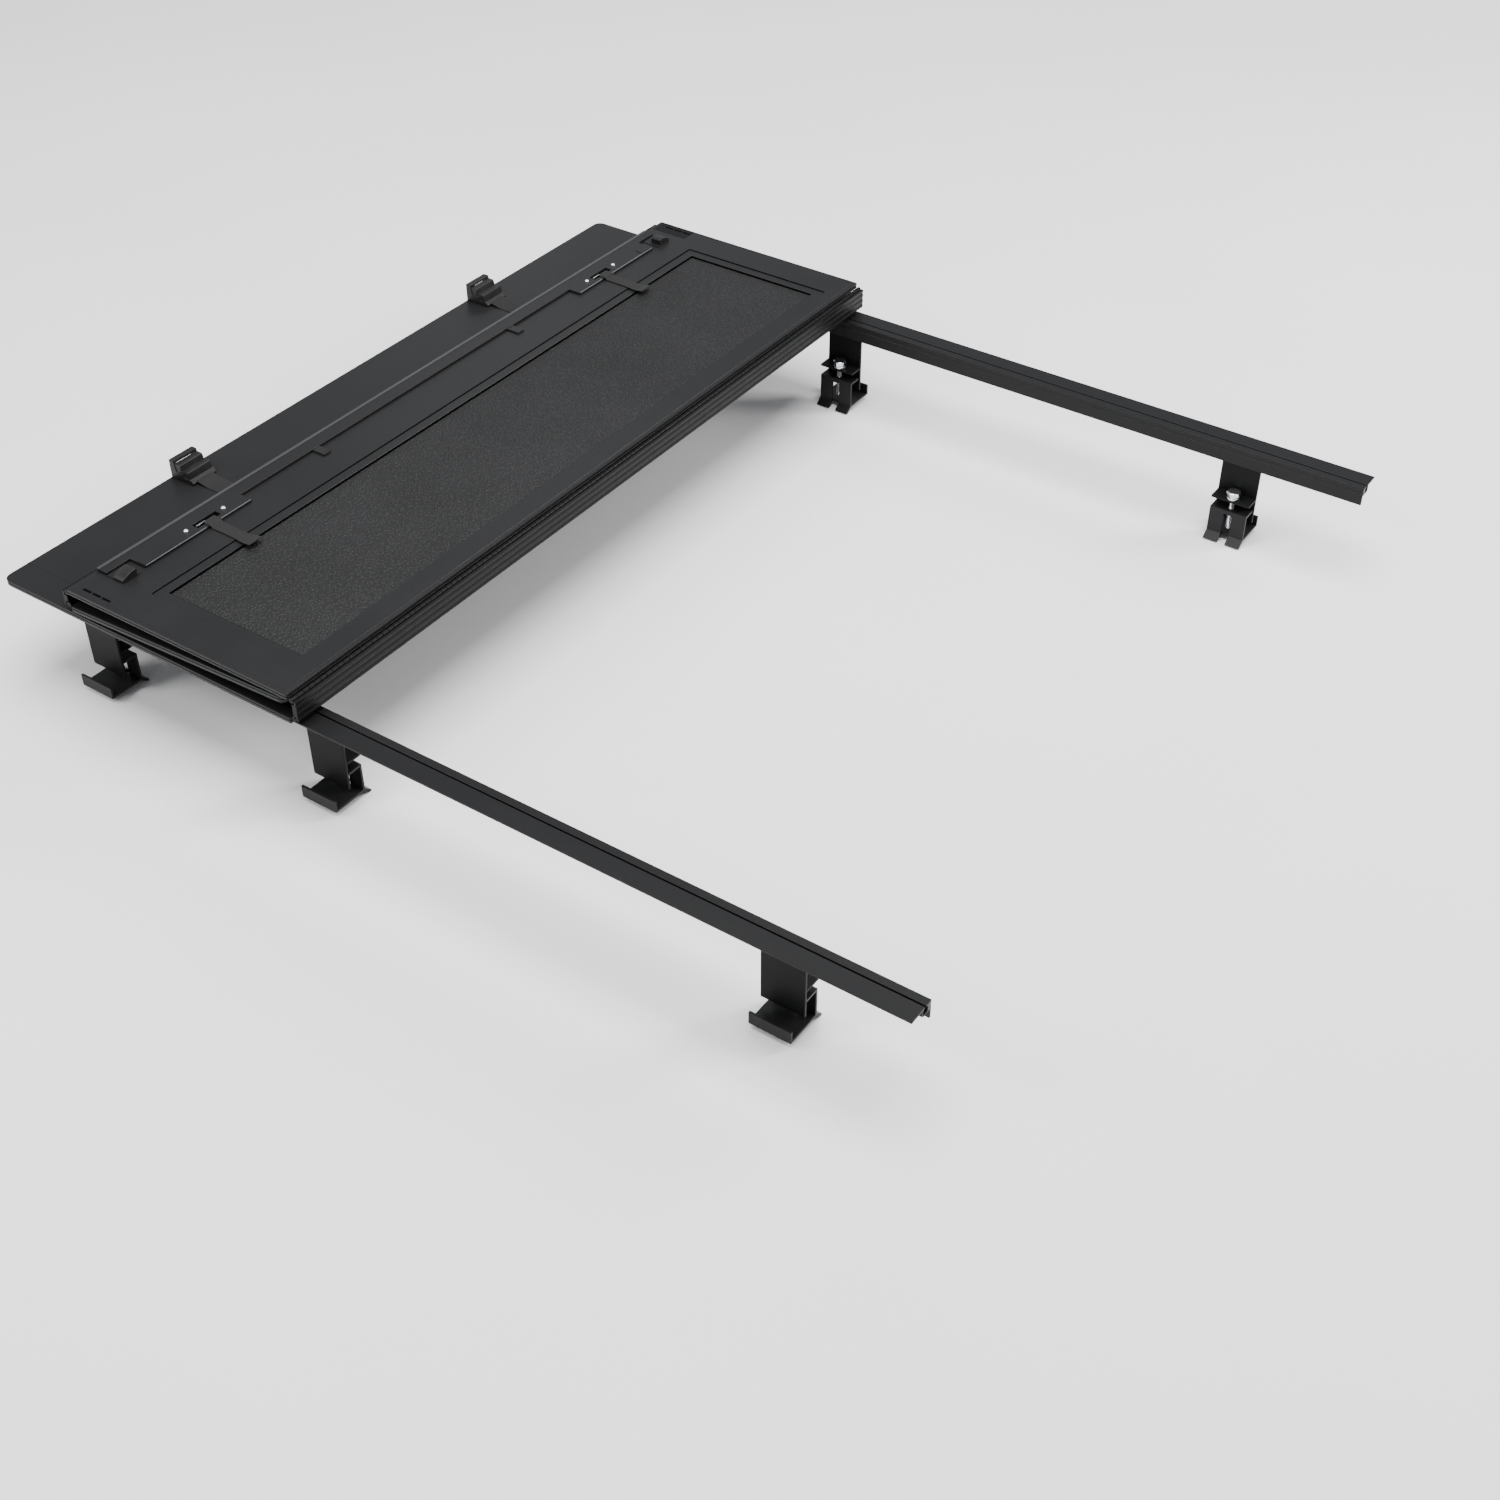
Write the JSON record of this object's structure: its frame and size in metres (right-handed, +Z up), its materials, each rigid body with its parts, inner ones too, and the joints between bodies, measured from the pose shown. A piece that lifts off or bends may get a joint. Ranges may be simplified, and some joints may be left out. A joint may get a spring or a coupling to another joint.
{
  "type": "hard tri-fold tonneau cover",
  "caption": "Hard folding pickup bed cover with clamp-on side rails, shown folded onto its front panel at the cab end, with underside latches, pull straps and storage buckles.",
  "frame": {"origin": "middle of the bounding box in plan, at the bottoms of the clamp feet", "axes": "+Y toward the cab, +X to the right of the truck, +Z up"},
  "size_m": [1.617, 1.757, 0.2531],
  "materials": {
    "black_powder_coat": "satin black powder coat on extruded aluminium",
    "black_anodised": "satin black anodised extrusion",
    "textured_board": "pebble-grained black composite board",
    "moulded_black": "fine matte moulded black plastic",
    "bright_metal": "zinc-plated bright steel",
    "black_webbing": "woven black polyester webbing",
    "black_rubber": "extruded black rubber"
  },
  "bodies": {
    "rails_and_front_panel": {"side_rail_left": "black_powder_coat", "side_rail_right": "black_powder_coat", "clamp_bracket_left_front": "black_powder_coat", "clamp_bracket_left_middle": "black_powder_coat", "clamp_bracket_left_rear": "black_powder_coat", "clamp_bracket_right_front": "black_powder_coat", "clamp_bracket_right_middle": "black_powder_coat", "clamp_bracket_right_rear": "black_powder_coat", "front_panel_start_bar": "black_powder_coat", "front_panel_end_bar": "black_powder_coat", "front_panel_left_bar": "black_powder_coat", "front_panel_right_bar": "black_powder_coat", "front_panel_board": "textured_board", "storage_buckle_left": "moulded_black", "storage_buckle_right": "moulded_black", "storage_webbing_left": "black_webbing", "storage_webbing_right": "black_webbing", "bulkhead_seal": "black_rubber"},
    "front_hinge_strip_body": {"front_hinge_strip": "black_anodised", "front_hinge_pin_lower": "bright_metal", "front_hinge_pin_upper": "bright_metal"},
    "folding_panels": {"middle_panel_start_bar": "black_powder_coat", "middle_panel_end_bar": "black_powder_coat", "middle_panel_left_bar": "black_powder_coat", "middle_panel_right_bar": "black_powder_coat", "middle_panel_board": "textured_board", "middle_panel_latch_cover": "moulded_black", "middle_panel_pull_strap_left": "black_webbing", "middle_panel_pull_strap_right": "black_webbing", "rear_hinge_strip": "black_anodised", "rear_hinge_pin_lower": "bright_metal", "rear_hinge_pin_upper": "bright_metal", "rear_panel_start_bar": "black_powder_coat", "rear_panel_end_bar": "black_powder_coat", "rear_panel_left_bar": "black_powder_coat", "rear_panel_right_bar": "black_powder_coat", "rear_panel_board": "textured_board", "rear_panel_latch_cover": "moulded_black", "rear_panel_pull_strap_left": "black_webbing", "rear_panel_pull_strap_right": "black_webbing", "tailgate_seal": "black_rubber"},
    "middle_panel_latch_tongue_left_body": {"middle_panel_latch_tongue_left": "moulded_black"},
    "middle_panel_latch_tongue_right_body": {"middle_panel_latch_tongue_right": "moulded_black"},
    "rear_panel_latch_tongue_left_body": {"rear_panel_latch_tongue_left": "moulded_black"},
    "rear_panel_latch_tongue_right_body": {"rear_panel_latch_tongue_right": "moulded_black"},
    "clamp_bolt_left_front_body": {"clamp_bolt_left_front": "bright_metal"},
    "clamp_jaw_left_front_body": {"clamp_jaw_left_front": "bright_metal"},
    "clamp_bolt_left_middle_body": {"clamp_bolt_left_middle": "bright_metal"},
    "clamp_jaw_left_middle_body": {"clamp_jaw_left_middle": "bright_metal"},
    "clamp_bolt_left_rear_body": {"clamp_bolt_left_rear": "bright_metal"},
    "clamp_jaw_left_rear_body": {"clamp_jaw_left_rear": "bright_metal"},
    "clamp_bolt_right_front_body": {"clamp_bolt_right_front": "bright_metal"},
    "clamp_jaw_right_front_body": {"clamp_jaw_right_front": "bright_metal"},
    "clamp_bolt_right_middle_body": {"clamp_bolt_right_middle": "bright_metal"},
    "clamp_jaw_right_middle_body": {"clamp_jaw_right_middle": "bright_metal"},
    "clamp_bolt_right_rear_body": {"clamp_bolt_right_rear": "bright_metal"},
    "clamp_jaw_right_rear_body": {"clamp_jaw_right_rear": "bright_metal"}
  },
  "joints": [
    {"name": "front_strip_fold", "type": "hinge", "parent": "rails_and_front_panel", "child": "front_hinge_strip_body", "pos_m": [0, 0.2155, 0.1933], "axis": [1, 0, 0], "range_deg": [0, 90]},
    {"name": "middle_panel_fold", "type": "hinge", "parent": "front_hinge_strip_body", "child": "folding_panels", "pos_m": [0, 0.2155, 0.2283], "axis": [1, 0, 0], "range_deg": [0, 90]},
    {"name": "middle_panel_tongue_left_slide", "type": "slide", "parent": "folding_panels", "child": "middle_panel_latch_tongue_left_body", "axis": [1, 0, 0], "range_m": [0, 0.012], "stiffness_N_per_m": 200},
    {"name": "middle_panel_tongue_right_slide", "type": "slide", "parent": "folding_panels", "child": "middle_panel_latch_tongue_right_body", "axis": [-1, 0, 0], "range_m": [0, 0.012], "stiffness_N_per_m": 200},
    {"name": "rear_panel_tongue_left_slide", "type": "slide", "parent": "folding_panels", "child": "rear_panel_latch_tongue_left_body", "axis": [1, 0, 0], "range_m": [0, 0.012], "stiffness_N_per_m": 200},
    {"name": "rear_panel_tongue_right_slide", "type": "slide", "parent": "folding_panels", "child": "rear_panel_latch_tongue_right_body", "axis": [-1, 0, 0], "range_m": [0, 0.012], "stiffness_N_per_m": 200},
    {"name": "clamp_bolt_left_front_turn", "type": "hinge", "parent": "rails_and_front_panel", "child": "clamp_bolt_left_front_body", "pos_m": [-0.7363, 0.7215, 0.088], "axis": [0, 0, 1], "range_deg": [-722, 722]},
    {"name": "clamp_jaw_left_front_slide", "type": "slide", "parent": "rails_and_front_panel", "child": "clamp_jaw_left_front_body", "axis": [0, 0, 1], "range_m": [-0.003, 0.003]},
    {"name": "clamp_bolt_left_middle_turn", "type": "hinge", "parent": "rails_and_front_panel", "child": "clamp_bolt_left_middle_body", "pos_m": [-0.7363, 0.2115, 0.088], "axis": [0, 0, 1], "range_deg": [-722, 722]},
    {"name": "clamp_jaw_left_middle_slide", "type": "slide", "parent": "rails_and_front_panel", "child": "clamp_jaw_left_middle_body", "axis": [0, 0, 1], "range_m": [-0.003, 0.003]},
    {"name": "clamp_bolt_left_rear_turn", "type": "hinge", "parent": "rails_and_front_panel", "child": "clamp_bolt_left_rear_body", "pos_m": [-0.7363, -0.649, 0.088], "axis": [0, 0, 1], "range_deg": [-722, 722]},
    {"name": "clamp_jaw_left_rear_slide", "type": "slide", "parent": "rails_and_front_panel", "child": "clamp_jaw_left_rear_body", "axis": [0, 0, 1], "range_m": [-0.003, 0.003]},
    {"name": "clamp_bolt_right_front_turn", "type": "hinge", "parent": "rails_and_front_panel", "child": "clamp_bolt_right_front_body", "pos_m": [0.7363, 0.7215, 0.088], "axis": [0, 0, 1], "range_deg": [-722, 722]},
    {"name": "clamp_jaw_right_front_slide", "type": "slide", "parent": "rails_and_front_panel", "child": "clamp_jaw_right_front_body", "axis": [0, 0, 1], "range_m": [-0.003, 0.003]},
    {"name": "clamp_bolt_right_middle_turn", "type": "hinge", "parent": "rails_and_front_panel", "child": "clamp_bolt_right_middle_body", "pos_m": [0.7363, 0.2115, 0.088], "axis": [0, 0, 1], "range_deg": [-722, 722]},
    {"name": "clamp_jaw_right_middle_slide", "type": "slide", "parent": "rails_and_front_panel", "child": "clamp_jaw_right_middle_body", "axis": [0, 0, 1], "range_m": [-0.003, 0.003]},
    {"name": "clamp_bolt_right_rear_turn", "type": "hinge", "parent": "rails_and_front_panel", "child": "clamp_bolt_right_rear_body", "pos_m": [0.7363, -0.649, 0.088], "axis": [0, 0, 1], "range_deg": [-722, 722]},
    {"name": "clamp_jaw_right_rear_slide", "type": "slide", "parent": "rails_and_front_panel", "child": "clamp_jaw_right_rear_body", "axis": [0, 0, 1], "range_m": [-0.003, 0.003]}
  ],
  "couplings": [
    {"joint": "middle_panel_fold", "follows": "front_strip_fold", "ratio": 1},
    {"joint": "clamp_bolt_left_front_turn", "follows": "clamp_jaw_left_front_slide", "rad_per_m": -4188.8},
    {"joint": "clamp_bolt_left_middle_turn", "follows": "clamp_jaw_left_middle_slide", "rad_per_m": -4188.8},
    {"joint": "clamp_bolt_left_rear_turn", "follows": "clamp_jaw_left_rear_slide", "rad_per_m": -4188.8},
    {"joint": "clamp_bolt_right_front_turn", "follows": "clamp_jaw_right_front_slide", "rad_per_m": -4188.8},
    {"joint": "clamp_bolt_right_middle_turn", "follows": "clamp_jaw_right_middle_slide", "rad_per_m": -4188.8},
    {"joint": "clamp_bolt_right_rear_turn", "follows": "clamp_jaw_right_rear_slide", "rad_per_m": -4188.8}
  ]
}
